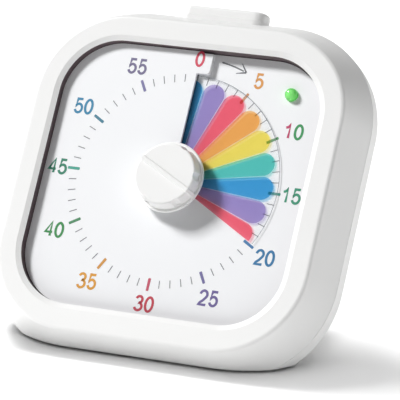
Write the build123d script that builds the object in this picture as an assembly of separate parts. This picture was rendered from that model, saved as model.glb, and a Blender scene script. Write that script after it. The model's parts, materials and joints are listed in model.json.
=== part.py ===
from build123d import *
from math import atan2, cos, degrees, radians, sin
import os

# Visual countdown timer: a leaning desk timer with a screw-shaped dial and a colour disc.
#
# The dial plate is one turn of a shallow screw surface (a helicoid) with a radial slot at zero.
# The clear colour disc is a helicoid of the same pitch on a hub that slides on a hexagonal shaft.
# As the knob turns, the disc rises by the pitch and so slides along itself: it comes out of the
# slot over the dial on the right of zero, while the rest stays hidden behind the plate.
#
# Every piece is drawn in the dial's own frame: X to the right, Y up the dial, Z towards the
# person who reads it, with the origin on the shaft's axis at the mean height of the dial's face.
# Angles on the dial go clockwise from zero at the top, as minutes do. At the end each piece is
# tipped back by LEAN and set down on the desk, with the desk at Z = 0 and the origin under the
# middle of the whole timer.

# ---------------------------------------------------------------- driving dimensions (mm)
LEAN = 33.6                 # the dial leans back from upright, degrees
CENTRE_HEIGHT = 61.1        # dial centre above the desk

STRAIGHT = 30.0             # half of the straight stretch on each side of the case outline
SEAM_HALF = 70.3            # half width of the case at the seam
CASE_DROP = 0.8             # the case's middle is this far below the dial's axis
SEAM_DEPTH = 11.3           # seam behind the mean dial plane
FACE_HEIGHT = 4.3           # flat face ring in front of the mean dial plane
FLARE = 0.4357              # the side walls widen by this much per mm of depth
FACE_ROUND = 1.7            # rounding around the front face
WALL = 2.2                  # case walls
SEAM_GROOVE = 0.35          # width and depth of the groove along the seam
RIM_DEPTH = 8.0             # depth of the rear cover's band
RIM_ROUND = 1.6
DISH_FRONT_HALF = 67.0      # half width where the dish leaves the band
DISH_BACK_HALF = 57.0       # half width of the flat back
DISH_DEPTH = 30.5           # flat back behind the mean dial plane
DISH_ROUND = 3.0
LIP_HEIGHT = 2.0            # tongue of the rear cover inside the front housing
LIP_WALL = 1.2

CASE_BORDER = 16.3          # from the window's side to the case's widest line
WINDOW_SQUASH = 0.7         # half height of the window below its half width
WINDOW_ROUND = 23.0
BEVEL_WIDTH = 2.1
BEVEL_DEPTH = 0.75
PLATE_GAP = 0.3             # dial plate inside the window
WELL_WALL = 1.6             # wall of the well around the dial
WELL_DEPTH = 3.4            # the well ends this far behind the mean dial plane

PITCH = 2.2                 # rise of the screw surface in one turn
PLATE_THICKNESS = 1.2
PLATE_SKIRT = 1.2           # wall around the plate
PLATE_HOLE = 9.2            # radius of the hole under the knob
SLOT_RADIUS = 43.4          # the slot runs out to here
SLOT_WIDTH = 0.1            # the plate's high edge stops this far short of the step
TAB_WIDTH = 5.0             # the high side reaches past the slot, outside the disc
TAB_ROUND = 1.5
FLANGE_THICKNESS = 1.2
FLANGE_LIP = 3.0            # flange and frame reach this far past the window
FLANGE_ROUND_EXTRA = 8.0    # rounder corners than the window's, clear of the screws

FILM_RADIUS = 42.9
FILM_THICKNESS = 0.3
FILM_LIFT = 0.35            # film above the plate's face
FILM_SPAN = 358.0           # degrees
REST_ANGLE = 118.8          # the disc's leading edge at rest, just under 20 minutes
HUB_RADIUS = 7.4
HUB_FRONT = 1.4             # ends of the disc's hub at rest
HUB_BACK = -2.6

SHAFT_FLATS = 5.6           # hexagonal stretch of the shaft, across its flats
SHAFT_SLIDE = 0.06          # clearance of the hub on the hexagon, per side
JOURNAL_RADIUS = 2.4
BUSH_WALL = 1.1
BUSH_CLEARANCE = 0.05
BUSH_FLANGE = 0.5

KNOB_RADIUS = 13.95         # flange
KNOB_BASE_RADIUS = 12.9     # foot of the grip
KNOB_TOP_RADIUS = 12.1
KNOB_EDGE = 0.4             # rounding of the flange
KNOB_BACK = 3.5
KNOB_FLANGE = 5.0
KNOB_TOP = 9.3
KNOB_ROOF = 1.5             # solid above the shaft's end
KNOB_ROUND = 0.8
FLUTES = 6
FLUTE_RADIUS = 2.6
FLUTE_DEPTH = 0.6
RIB_WIDTH = 2.2
RIB_HEIGHT = 0.6
RIB_SLOPE = 0.5             # chamfer along both sides of the rib
RIB_ANGLE = 117.3           # direction of the pointer rib

LED_AT = (39.4, 39.4)
LED_RADIUS = 2.5
LED_TIP = 2.3
LED_FLANGE = 2.95

FRAME_THICKNESS = 1.8
BOSS_INSET = 3.5            # case screws, inwards from the window's side both ways
BOSS_RADIUS = 3.4
SCREW_RADIUS = 1.5
SCREW_HEAD_RADIUS = 2.8
SCREW_SEAT = 20.5           # heads sit this deep behind the mean dial plane
SCREW_PLAY = 0.2            # hole around the shank
HEAD_PLAY = 0.3             # recess around the head
POST_RADIUS = 4.0           # screw posts of the rear cover and ears of the frame

MOVEMENT_SIDE = 56.0
MOVEMENT_DEPTH = 14.0
MOVEMENT_WALL = 1.4
MOVEMENT_ROUND = 4.0
MOVEMENT_SCREW_AT = 24.0
MODULE = 0.8                # gear teeth: pitch diameter divided by tooth count
GEAR_THICKNESS = 1.6
OUTPUT_TEETH = 30
SECOND_TEETH = 24
PINION_TEETH = 10           # on the second wheel and on the rotor
ARBOR_RADIUS = 0.6
ARBOR_CLEARANCE = 0.05
WHEEL_GAP = 0.2             # between wheels and what is next to them on an arbor
MAGNET_RADIUS = 4.5
STATOR_THICKNESS = 0.8

BUTTON_DEPTH = 13.8         # centre line of the top button behind the mean dial plane
CAP_LENGTH = 36.4
CAP_WIDTH = 9.6
CAP_PROUD = 4.8             # cap above the top of the case
CAP_ROUND = 1.3
CAP_WALL = 1.4
CAP_ROOF = 1.8
CAP_TRAVEL = 1.5
CAP_GAP = 0.3
TAB_THICKNESS = 1.4         # the cap's end tabs, which stop it under the cup's ledge
TAB_REACH = 1.5
TAB_HALF_DEPTH = 2.0
COLLAR_WALL = 0.55          # visible rim around the cap
COLLAR_PROUD = 0.8          # rim above the top of the case
CUP_LENGTH = 45.0           # hidden cup below the rim, held between the shells
CUP_WIDTH = 13.0
CUP_DEPTH = 4.5             # its top below the top of the case
CUP_HEIGHT = 6.5
CUP_LEDGE = 1.0             # ledge over the tabs
COLLAR_FLOOR = 1.4
COLLAR_FIT = 0.15
SPRING_LENGTH = 7.6
SPRING_RADIUS = 1.9
KEY_HEIGHT = 4.8
KEY_SIDE = 6.0
BRIDGE_WALL = 2.0

HUMP_HALF_WIDTH = 44.0
HUMP_TOP = -3.0
HUMP_DEPTH = 50.0
HUMP_ROUND = 4.0
TUB_LENGTH = 62.0           # battery compartment
TUB_HEIGHT = 31.4
TUB_CENTRE = -21.6
TUB_FLOOR = 31.0            # its floor behind the mean dial plane
TUB_WALL = 1.6
BATTERY_RADIUS = 7.25
BATTERY_LENGTH = 49.5
BATTERY_NUB = 1.0
BATTERY_GAP = 0.5
DOOR_THICKNESS = 2.0
DOOR_GAP = 0.3
DOOR_LEDGE = 2.4            # the door overlaps the compartment by this much at each end
DOOR_TONGUE = 1.0

BOARD_THICKNESS = 1.6
BOARD_GAP = 3.0             # board in front of the back wall
BOARD_SIZE = (44.0, 34.0)
BOARD_AT = (14.0, 30.0)
SWITCH_AT = (16.0, 30.0)
SWITCH_TRAVEL = 4.0
BUZZER_AT = (-27.0, 26.0)
BUZZER_RADIUS = 11.0
BUZZER_HEIGHT = 5.0

PAD_RADIUS = 4.5
PAD_RECESS = 0.9
PAD_PROUD = 1.0
FRONT_PAD_X = 36.0
FRONT_PAD_INSET = 7.0       # front pads behind the seam, along the desk
REAR_PAD_X = 34.0
REAR_PAD_INSET = 9.4        # rear pads in front of the wedge's back, along the desk

# ---------------------------------------------------------------- derived sizes
CASE_TOP = SEAM_HALF - CASE_DROP
WINDOW_HALF_X = SEAM_HALF - CASE_BORDER
WINDOW_HALF_Y = WINDOW_HALF_X - WINDOW_SQUASH
WINDOW_TOP = WINDOW_HALF_Y - CASE_DROP
FLANGE_HALF = WINDOW_HALF_X + FLANGE_LIP
FLANGE_ROUND = WINDOW_ROUND + FLANGE_ROUND_EXTRA
BOSS_AT = WINDOW_HALF_X - BOSS_INSET
INSIDE_BACK = -(DISH_DEPTH - WALL)
FRAME_FRONT = -WELL_DEPTH - FLANGE_THICKNESS
FRAME_BACK = FRAME_FRONT - FRAME_THICKNESS
MOVEMENT_BACK = FRAME_BACK - MOVEMENT_DEPTH
DOOR_OUTSIDE = -HUMP_DEPTH
BOARD_FRONT = INSIDE_BACK + BOARD_GAP + BOARD_THICKNESS
MOVEMENT_FRONT = FRAME_BACK - MOVEMENT_WALL
MOVEMENT_FLOOR = MOVEMENT_BACK + MOVEMENT_WALL
OUTPUT_BACK = MOVEMENT_FRONT - 1.0 - WHEEL_GAP - GEAR_THICKNESS
SECOND_BACK = OUTPUT_BACK - WHEEL_GAP - 0.8 - GEAR_THICKNESS
STATOR_BACK = MOVEMENT_FLOOR + 2.6
CAP_TOP = CASE_TOP + CAP_PROUD
COLLAR_TOP = CASE_TOP + COLLAR_PROUD
COLLAR_LENGTH = CAP_LENGTH + 2 * (CAP_GAP + COLLAR_WALL)
COLLAR_WIDTH = CAP_WIDTH + 2 * (CAP_GAP + COLLAR_WALL)
CUP_TOP = CASE_TOP - CUP_DEPTH
CUP_BASE = CUP_TOP - CUP_HEIGHT
CUP_INSIDE = CUP_BASE + COLLAR_FLOOR
CAP_TAB_TOP = CUP_TOP - CUP_LEDGE - CAP_GAP
SPRING_TOP = CUP_INSIDE + SPRING_LENGTH
SPRING_AT = (-12.0, 12.0)
KEY_TOP = CUP_INSIDE + KEY_HEIGHT
FAR = 200.0                 # larger than the whole case


# ---------------------------------------------------------------- helpers
def outline(half, at=0.0):
    """Rounded square of the case: straight stretches of fixed length joined by arcs."""
    return Pos(0, -CASE_DROP, at) * RectangleRounded(2 * half, 2 * half, half - STRAIGHT)


def window(grow=0.0, at=0.0):
    """Outline of the dial opening, offset outwards by grow."""
    width = 2 * (WINDOW_HALF_X + grow)
    height = 2 * (WINDOW_HALF_Y + grow)
    return Pos(0, -CASE_DROP, at) * RectangleRounded(width, height, WINDOW_ROUND + grow)


def carrier():
    """Outline of the dial's flange and of the frame behind it."""
    return Pos(0, -CASE_DROP) * RectangleRounded(2 * FLANGE_HALF, 2 * FLANGE_HALF, FLANGE_ROUND)


def corners(reach, drop=0.0):
    """Four places at the corners of a square around the dial's axis, lowered by drop."""
    return [(x_side * reach, y_side * reach - drop) for x_side in (-1, 1) for y_side in (-1, 1)]


def desk_y(depth):
    """Where the plane at a depth behind the mean dial plane meets the desk, along the desk."""
    up_dial = -(CENTRE_HEIGHT - depth * sin(radians(LEAN))) / cos(radians(LEAN))
    return up_dial * sin(radians(LEAN)) + depth * cos(radians(LEAN))


def between(sketch, low, high):
    """Prism of a sketch in the dial plane from z = low to z = high."""
    return extrude(Pos(0, 0, low) * sketch, amount=high - low)


def block(x_range, y_range, z_range):
    """Box from its lowest to its highest corner."""
    spans = [pair[1] - pair[0] for pair in (x_range, y_range, z_range)]
    middle = [(pair[1] + pair[0]) / 2 for pair in (x_range, y_range, z_range)]
    return Pos(*middle) * Box(*spans)


def rod(radius, low, high, at=(0.0, 0.0)):
    """Round bar along Z."""
    return Pos(at[0], at[1], (low + high) / 2) * Cylinder(radius, high - low)


def upright_slot(length, width, low, high):
    """Stadium-shaped bar standing along Y on the top button's centre line."""
    plane = Plane(origin=(0, low, -BUTTON_DEPTH), x_dir=(1, 0, 0), z_dir=(0, 1, 0))
    return extrude(plane * SlotOverall(length, width), amount=high - low)


def upright_rod(radius, low, high, x=0.0):
    """Round bar along Y on the top button's centre line."""
    plane = Plane(origin=(x, low, -BUTTON_DEPTH), x_dir=(1, 0, 0), z_dir=(0, 1, 0))
    return extrude(plane * Circle(radius), amount=high - low)


def above_desk(lift=0.0):
    """Half space above the desk plane, raised by lift, in the dial's frame."""
    space = Pos(0, 0, FAR / 2 + lift) * Box(2 * FAR, 2 * FAR, FAR)
    return to_dial(space)


def to_dial(shape):
    """From the desk's frame to the dial's frame."""
    return Rot(LEAN - 90, 0, 0) * Pos(0, 0, -CENTRE_HEIGHT) * shape


def to_desk(shape):
    """From the dial's frame to the desk's frame."""
    return Pos(0, 0, CENTRE_HEIGHT) * Rot(90 - LEAN, 0, 0) * shape


def screw_surface(inner, outer, low, high, start, span):
    """Solid between two parallel screw surfaces, from the angle start through span, clockwise.

    low and high are heights above the surface that stands PITCH/2 behind the mean plane at zero
    and rises by PITCH per turn clockwise.
    """
    middle = (inner + outer) / 2
    path = Edge.make_helix(PITCH, PITCH * span / 360, middle, lefthand=True)
    corners = [(inner, 0, low), (outer, 0, low), (outer, 0, high), (inner, 0, high)]
    profile = make_face(Polyline(*corners, close=True))
    solid = sweep(profile, path=path, is_frenet=True)
    rise = PITCH * start / 360 - PITCH / 2
    return Pos(0, 0, rise) * Rot(0, 0, 90 - start) * solid


def coil(radius, wire, length, turns):
    """Compression spring along Z from zero, with its wire's ends ground flat."""
    pitch = (length + wire) / turns
    path = Edge.make_helix(pitch, pitch * turns, radius)
    end = Plane(origin=path @ 0, z_dir=path % 0)
    spring = sweep(end * RegularPolygon(wire, 6), path=path, is_frenet=True)
    return Pos(0, 0, -wire / 2) * spring & rod(2 * radius, 0, length)


def gear(teeth, thickness, bore, phase=0.0):
    """Spur gear with straight-flanked teeth, lying on z = 0; phase is in teeth."""
    pitch_radius = MODULE * teeth / 2
    root = pitch_radius - 1.15 * MODULE
    tip = pitch_radius + 0.85 * MODULE
    step = 360 / teeth
    outline_points = []
    for tooth in range(teeth):
        for share, radius in ((-0.29, root), (-0.11, tip), (0.11, tip), (0.29, root)):
            angle = radians((tooth + phase + share) * step)
            outline_points.append((radius * cos(angle), radius * sin(angle)))
    wheel = extrude(make_face(Polyline(*outline_points, close=True)), amount=thickness)
    return wheel - rod(bore, -1, thickness + 1)


# ---------------------------------------------------------------- case
def front_housing():
    """Flared front shell with the dial's well, its bevel and four screw bosses."""
    face_half = SEAM_HALF - FLARE * (SEAM_DEPTH + FACE_HEIGHT)
    body = loft([outline(SEAM_HALF, -SEAM_DEPTH), outline(face_half, FACE_HEIGHT)], ruled=True)
    face_edges = body.faces().sort_by(Axis.Z)[-1].edges()
    body = fillet(face_edges, FACE_ROUND)

    slant = WALL * (1 + FLARE * FLARE) ** 0.5
    hollow_top = FACE_HEIGHT - WALL
    hollow_half = SEAM_HALF - slant - FLARE * (SEAM_DEPTH + hollow_top)
    hollow = loft(
        [outline(SEAM_HALF - slant, -SEAM_DEPTH), outline(hollow_half, hollow_top)], ruled=True
    )
    hollow = hollow & above_desk(WALL + PAD_PROUD)
    hollow = hollow - between(window(WELL_WALL), -WELL_DEPTH, hollow_top)
    for corner in corners(BOSS_AT, CASE_DROP):
        hollow = hollow - rod(BOSS_RADIUS, FRAME_FRONT, FACE_HEIGHT, corner)

    shell = body - hollow - between(window(), -FAR, FAR)
    edge_height = FACE_HEIGHT - BEVEL_DEPTH
    bevel = loft([window(0, edge_height), window(BEVEL_WIDTH, FACE_HEIGHT)], ruled=True)
    shell = shell - bevel
    for corner in corners(BOSS_AT, CASE_DROP):
        shell = shell - rod(SCREW_RADIUS, FRAME_FRONT, FACE_HEIGHT - WALL, corner)
    shell = shell - collar_opening()
    return shell & above_desk(PAD_PROUD)


def collar_opening():
    """Room for the button's cup in both shells, and the opening for its rim."""
    gap = COLLAR_FIT
    rim = upright_slot(COLLAR_LENGTH + 2 * gap, COLLAR_WIDTH + 2 * gap, CUP_BASE, FAR / 2)
    cup = upright_slot(CUP_LENGTH + 2 * gap, CUP_WIDTH + 2 * gap, CUP_BASE - gap, CUP_TOP + gap)
    return rim + cup


def hump():
    """Wedge at the lower back that carries the batteries and the rear feet."""
    width = 2 * HUMP_HALF_WIDTH
    low = -FAR / 2
    height = HUMP_TOP - low
    base = Pos(0, (HUMP_TOP + low) / 2, INSIDE_BACK) * RectangleRounded(width, height, HUMP_ROUND)
    wedge = extrude(base, amount=-(HUMP_DEPTH + INSIDE_BACK))
    wedge = wedge & above_desk(PAD_PROUD)
    return fillet(wedge.faces().sort_by(Axis.Z)[0].edges(), DISH_ROUND - 1)


def rear_body(inset):
    """Band and dish of the rear cover, drawn in by inset."""
    back = -DISH_DEPTH + inset
    band_back = -SEAM_DEPTH - RIM_DEPTH + inset
    band = between(outline(SEAM_HALF - inset), band_back, -SEAM_DEPTH)
    band = fillet(band.faces().sort_by(Axis.Z)[0].edges(), RIM_ROUND)
    dish_front = -SEAM_DEPTH - RIM_DEPTH / 2
    dish = loft(
        [outline(DISH_FRONT_HALF - inset, dish_front), outline(DISH_BACK_HALF - inset, back)],
        ruled=True,
    )
    dish = fillet(dish.faces().sort_by(Axis.Z)[0].edges(), DISH_ROUND)
    return band + dish


def tub(grow, depth):
    """Battery compartment as a block, grown by grow, from its floor to the given depth."""
    x_range = (-TUB_LENGTH / 2 - grow, TUB_LENGTH / 2 + grow)
    y_range = (TUB_CENTRE - TUB_HEIGHT / 2 - grow, TUB_CENTRE + TUB_HEIGHT / 2 + grow)
    return block(x_range, y_range, (-depth, -TUB_FLOOR + grow))


def door_plate(gap):
    """Door outline grown by gap: a plate with a tongue along each side."""
    half = TUB_LENGTH / 2 + DOOR_LEDGE + gap
    low = TUB_CENTRE - TUB_HEIGHT / 2 - gap
    inside = DOOR_OUTSIDE + DOOR_THICKNESS + gap
    plate = block((-half, half), (low, HUMP_TOP), (DOOR_OUTSIDE, inside))
    reach = half + DOOR_TONGUE
    tongue = block((-reach, reach), (low, HUMP_TOP), (inside - DOOR_TONGUE - 2 * gap, inside))
    return plate + tongue


def rear_cover():
    """Rear cover: band, dish, battery wedge and compartment, posts, speaker holes."""
    outside = rear_body(0) + hump()
    bridge = upright_slot(
        CUP_LENGTH + 2 * BRIDGE_WALL,
        CUP_WIDTH + 2 * BRIDGE_WALL,
        CUP_BASE - BRIDGE_WALL,
        CASE_TOP - BRIDGE_WALL,
    )
    bridge = bridge - block((-FAR, FAR), (-FAR, FAR), (-SEAM_DEPTH, FAR))
    outside = (outside + bridge) & above_desk(PAD_PROUD)

    hump_inside = block(
        (-HUMP_HALF_WIDTH + WALL, HUMP_HALF_WIDTH - WALL),
        (-FAR / 2, HUMP_TOP - WALL),
        (-HUMP_DEPTH + WALL, INSIDE_BACK + 1),
    )
    hollow = rear_body(WALL) + hump_inside
    hollow = (hollow & above_desk(PAD_PROUD + WALL)) - tub(TUB_WALL, HUMP_DEPTH) - bridge
    for corner in corners(BOSS_AT, CASE_DROP):
        hollow = hollow - rod(POST_RADIUS, -FAR / 2, -SEAM_DEPTH, corner)
    for corner in board_posts():
        hollow = hollow - rod(2.2, INSIDE_BACK - 1, INSIDE_BACK + BOARD_GAP, corner)
    shell = outside - hollow - tub(0, FAR / 2) - door_plate(DOOR_GAP)

    lip_half = SEAM_HALF - WALL * (1 + FLARE * FLARE) ** 0.5 - FLARE * LIP_HEIGHT - COLLAR_FIT
    lip = between(
        outline(lip_half) - outline(lip_half - LIP_WALL), -SEAM_DEPTH - 2, -SEAM_DEPTH + LIP_HEIGHT
    )
    shell = shell + (lip & above_desk(PAD_PROUD + WALL + COLLAR_FIT))

    for corner in corners(BOSS_AT, CASE_DROP):
        shell = shell + rod(POST_RADIUS, -SEAM_DEPTH - 1, FRAME_BACK, corner)
        shell = shell - rod(SCREW_RADIUS + SCREW_PLAY, -FAR / 2, 0, corner)
        shell = shell - rod(SCREW_HEAD_RADIUS + HEAD_PLAY, -FAR / 2, -SCREW_SEAT, corner)
    shell = shell - collar_opening()
    groove = between(
        outline(SEAM_HALF + 1) - outline(SEAM_HALF - SEAM_GROOVE), -SEAM_DEPTH - SEAM_GROOVE, 0
    )
    shell = shell - groove
    for corner in board_posts():
        shell = shell + rod(0.9, INSIDE_BACK - 1, BOARD_FRONT + 0.6, corner)
    shell = shell - block(*slider_slot(0.35))
    for hole in buzzer_holes():
        shell = shell - rod(1.0, -DISH_DEPTH - 1, INSIDE_BACK + 1, hole)
    for pad in rubber_pads():
        shell = shell - pad
    return shell


def board_posts():
    """Posts under the circuit board's corners."""
    reach_x = BOARD_SIZE[0] / 2 - 3
    reach_y = BOARD_SIZE[1] / 2 - 3
    return [
        (BOARD_AT[0] + x_side * reach_x, BOARD_AT[1] + y_side * reach_y)
        for x_side in (-1, 1)
        for y_side in (-1, 1)
    ]


def slider_slot(gap):
    """Slot in the back wall for the slide switch's knob."""
    half_x = 2.0 + SWITCH_TRAVEL / 2 + gap
    half_y = 1.5 + gap
    centre = (SWITCH_AT[0], SWITCH_AT[1])
    return (
        (centre[0] - half_x, centre[0] + half_x),
        (centre[1] - half_y, centre[1] + half_y),
        (-DISH_DEPTH - 1, INSIDE_BACK + 1),
    )


def buzzer_holes():
    """One hole in the middle and six around it."""
    ring = [(4 * cos(radians(a)), 4 * sin(radians(a))) for a in range(0, 360, 60)]
    return [(BUZZER_AT[0] + x, BUZZER_AT[1] + y) for x, y in [(0, 0)] + ring]


def rubber_pads():
    """Pads on the desk, in recesses of the rear cover."""
    height = PAD_PROUD + PAD_RECESS
    front = desk_y(SEAM_DEPTH) + FRONT_PAD_INSET
    rear = desk_y(HUMP_DEPTH) - REAR_PAD_INSET
    places = [(side * FRONT_PAD_X, front) for side in (-1, 1)]
    places = places + [(side * REAR_PAD_X, rear) for side in (-1, 1)]
    return [to_dial(Pos(x, y, height / 2) * Cylinder(PAD_RADIUS, height)) for x, y in places]


def case_screw(at):
    """Pan-head screw from the back into a boss of the front housing."""
    shank = rod(SCREW_RADIUS - 0.1, -SCREW_SEAT, FACE_HEIGHT - WALL - 1, at)
    head = rod(SCREW_HEAD_RADIUS, -SCREW_SEAT - 2, -SCREW_SEAT, at)
    cross = block((-0.4, 0.4), (-1.6, 1.6), (-SCREW_SEAT - 3, -SCREW_SEAT - 1))
    cross = cross + Rot(0, 0, 90) * cross
    return shank + (head - Pos(at[0], at[1], 0) * cross)


# ---------------------------------------------------------------- dial
def dial_plate():
    """Screw-shaped dial with its slot at zero, the raised tab, a skirt and a clamping flange."""
    skirt_back = FRAME_FRONT
    plate = between(window(-PLATE_GAP), skirt_back, PITCH)
    for start in (0, 180):
        plate = plate - screw_surface(0.5, FAR / 2, 0, 3 * PITCH, start, 180)
    below = [
        screw_surface(0.5, FAR / 2, -4 * PITCH, -PLATE_THICKNESS, start, 180) for start in (0, 180)
    ]
    inner = between(window(-PLATE_GAP - PLATE_SKIRT), -FAR, FAR)
    for solid in below:
        plate = plate - (solid & inner)
    plate = plate - rod(PLATE_HOLE, -FAR, FAR)
    plate = plate - block((-SLOT_WIDTH, 0), (0, SLOT_RADIUS), (-PITCH / 2, FAR))

    tab_top = WINDOW_TOP - PLATE_GAP - PLATE_SKIRT / 2
    tab = block(
        (-SLOT_WIDTH - 1, TAB_WIDTH),
        (SLOT_RADIUS, tab_top),
        (-PITCH / 2 - PLATE_THICKNESS, PITCH / 2),
    )
    upright_edges = tab.edges().filter_by(Axis.Z)
    tab = fillet(upright_edges.sort_by_distance((TAB_WIDTH, SLOT_RADIUS, 0))[0], TAB_ROUND)
    plate = plate + tab
    plate = plate + between(
        carrier() - window(-PLATE_GAP - PLATE_SKIRT + 0.1), FRAME_FRONT, -WELL_DEPTH
    )
    return plate - rod(LED_RADIUS + 0.1, -FAR, FAR, LED_AT)


def film_disc():
    """Clear screw-shaped disc, a whole turn less a sliver, ending at its leading edge."""
    start = REST_ANGLE - FILM_SPAN
    return screw_surface(
        HUB_RADIUS - 0.2, FILM_RADIUS, FILM_LIFT, FILM_LIFT + FILM_THICKNESS, start, FILM_SPAN
    )


def disc_hub():
    """Sleeve with a hexagonal bore that carries the film and slides on the shaft."""
    flats = SHAFT_FLATS + 2 * SHAFT_SLIDE
    ring = Circle(HUB_RADIUS - 0.2) - RegularPolygon(flats / 2, 6, major_radius=False)
    return between(ring, HUB_BACK, HUB_FRONT)


def knob_shaft():
    """Hexagonal in the knob and the hub, round in the bush and the movement."""
    shoulder = FRAME_FRONT + BUSH_FLANGE + BUSH_CLEARANCE
    hexagon = between(
        RegularPolygon(SHAFT_FLATS / 2, 6, major_radius=False), shoulder, KNOB_TOP - KNOB_ROOF
    )
    journal = rod(JOURNAL_RADIUS, MOVEMENT_FLOOR + 1.0, shoulder)
    return hexagon + journal


def dial_knob():
    """Finger knob: flange, shallow-fluted grip and a pointer rib that runs down to the flange."""
    flange = rod(KNOB_RADIUS, KNOB_BACK, KNOB_FLANGE)
    flange = fillet(flange.edges(), KNOB_EDGE)
    foot = Pos(0, 0, KNOB_FLANGE) * Circle(KNOB_BASE_RADIUS)
    grip = loft([foot, Pos(0, 0, KNOB_TOP) * Circle(KNOB_TOP_RADIUS)])
    grip = fillet(grip.faces().sort_by(Axis.Z)[-1].edges(), KNOB_ROUND)
    lean = degrees(atan2(KNOB_BASE_RADIUS - KNOB_TOP_RADIUS, KNOB_TOP - KNOB_FLANGE))
    flute = Rot(0, -lean, 0) * Cylinder(FLUTE_RADIUS, 3 * KNOB_TOP)
    flute = Pos(KNOB_TOP_RADIUS - FLUTE_DEPTH + FLUTE_RADIUS, 0, KNOB_TOP) * flute
    flute = flute & rod(FAR, KNOB_FLANGE + KNOB_EDGE, FAR)
    for index in range(FLUTES):
        angle = index * 360 / FLUTES - RIB_ANGLE + 90 + 180 / FLUTES
        grip = grip - Rot(0, 0, angle) * flute
    hexagon = RegularPolygon(SHAFT_FLATS / 2, 6, major_radius=False)
    bore = between(hexagon, KNOB_BACK, KNOB_TOP - KNOB_ROOF)
    return flange + grip + knob_rib() - bore


def knob_rib():
    """Bar across the knob's top and down one side to the flange, with sloping sides."""
    ridge = KNOB_TOP + RIB_HEIGHT
    start = RIB_SLOPE - KNOB_TOP_RADIUS
    points = [
        (start, KNOB_TOP - KNOB_ROUND),
        (start, ridge),
        (KNOB_TOP_RADIUS, ridge),
        (KNOB_RADIUS - KNOB_EDGE, KNOB_FLANGE + KNOB_EDGE),
        (KNOB_RADIUS - KNOB_EDGE, KNOB_FLANGE - KNOB_EDGE),
    ]
    side = Plane.XZ * make_face(Polyline(*points, close=True))
    rib = extrude(side, amount=RIB_WIDTH / 2, both=True)
    crest = rib.edges().filter_by(Axis.Y, reverse=True).sort_by(Axis.Z)[-6:]
    return Rot(0, 0, 90 - RIB_ANGLE) * chamfer(crest, RIB_SLOPE)


# ---------------------------------------------------------------- inner frame and movement
def inner_frame():
    """Flat carrier behind the dial, clamped at its four ears by the case screws."""
    sheet = carrier()
    for corner in corners(BOSS_AT, CASE_DROP):
        sheet = sheet + Pos(*corner) * Circle(POST_RADIUS)
        sheet = sheet - Pos(*corner) * Circle(SCREW_RADIUS + SCREW_PLAY)
    sheet = sheet - Pos(*LED_AT) * Circle(2.0)
    sheet = sheet - Circle(JOURNAL_RADIUS + BUSH_CLEARANCE + BUSH_WALL)
    frame = between(sheet, FRAME_BACK, FRAME_FRONT)
    for at in corners(MOVEMENT_SCREW_AT):
        frame = frame - rod(1.1, FRAME_BACK, FRAME_FRONT, at)
        frame = frame - rod(2.3, FRAME_FRONT - 1.0, FRAME_FRONT, at)
    return frame


def shaft_bush():
    """Flanged sleeve pressed into the frame: the shaft's running bearing."""
    bore = JOURNAL_RADIUS + BUSH_CLEARANCE
    sleeve = rod(bore + BUSH_WALL, FRAME_BACK - MOVEMENT_WALL - 1.0, FRAME_FRONT)
    flange = rod(bore + BUSH_WALL + 1.4, FRAME_FRONT, FRAME_FRONT + BUSH_FLANGE)
    return sleeve + flange - rod(bore, -FAR, FAR)


def movement_screw(at):
    """Small countersunk screw through the frame into the movement."""
    head_back = FRAME_FRONT - 1.0
    return rod(2.1, head_back, FRAME_FRONT - 0.1, at) + rod(0.95, head_back - 5, head_back, at)


def movement_cover():
    """Front half of the movement's case."""
    lid = between(
        RectangleRounded(MOVEMENT_SIDE, MOVEMENT_SIDE, MOVEMENT_ROUND),
        FRAME_BACK - MOVEMENT_WALL,
        FRAME_BACK,
    )
    lid = lid - rod(JOURNAL_RADIUS + BUSH_CLEARANCE + BUSH_WALL, -FAR, FAR)
    for at in corners(MOVEMENT_SCREW_AT):
        lid = lid - rod(1.0, -FAR, FAR, at)
    for wheel_at in (second_axis(), rotor_axis()):
        hole = ARBOR_RADIUS + ARBOR_CLEARANCE
        lid = lid - rod(hole, MOVEMENT_FRONT - 1, MOVEMENT_FRONT + 0.8, wheel_at)
    return lid


def movement_case():
    """Rear half of the movement's case: a tray with screw pillars and bearing cups."""
    front = FRAME_BACK - MOVEMENT_WALL
    floor = MOVEMENT_BACK + MOVEMENT_WALL
    side = MOVEMENT_SIDE - 2 * MOVEMENT_WALL
    tray = between(
        RectangleRounded(MOVEMENT_SIDE, MOVEMENT_SIDE, MOVEMENT_ROUND), MOVEMENT_BACK, front
    )
    hollow = between(RectangleRounded(side, side, MOVEMENT_ROUND - MOVEMENT_WALL), floor, front)
    for at in corners(MOVEMENT_SCREW_AT):
        hollow = hollow - rod(2.2, floor, front, at)
    tray = tray - hollow
    tray = tray + rod(JOURNAL_RADIUS + 1.6, floor - 0.5, floor + 2.0)
    tray = tray - rod(JOURNAL_RADIUS + BUSH_CLEARANCE, floor + 0.8, front)
    for wheel_at in (second_axis(), rotor_axis()):
        tray = tray + rod(1.8, floor - 0.5, floor + 1.2, wheel_at)
        tray = tray - rod(ARBOR_RADIUS + ARBOR_CLEARANCE, floor - 0.8, front, wheel_at)
    for at in corners(MOVEMENT_SCREW_AT):
        tray = tray - rod(1.0, front - 5, front, at)
    return tray


def second_axis():
    """Axis of the second wheel: its pinion meshes with the output wheel."""
    return (0.0, -MODULE * (OUTPUT_TEETH + PINION_TEETH) / 2)


def rotor_axis():
    """Axis of the motor's rotor: its pinion meshes with the second wheel."""
    return (MODULE * (SECOND_TEETH + PINION_TEETH) / 2, second_axis()[1])


def arbor(at):
    """Thin steel arbor between the two halves of the movement's case."""
    return rod(ARBOR_RADIUS, MOVEMENT_FLOOR - 0.6, MOVEMENT_FRONT + 0.6, at)


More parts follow.
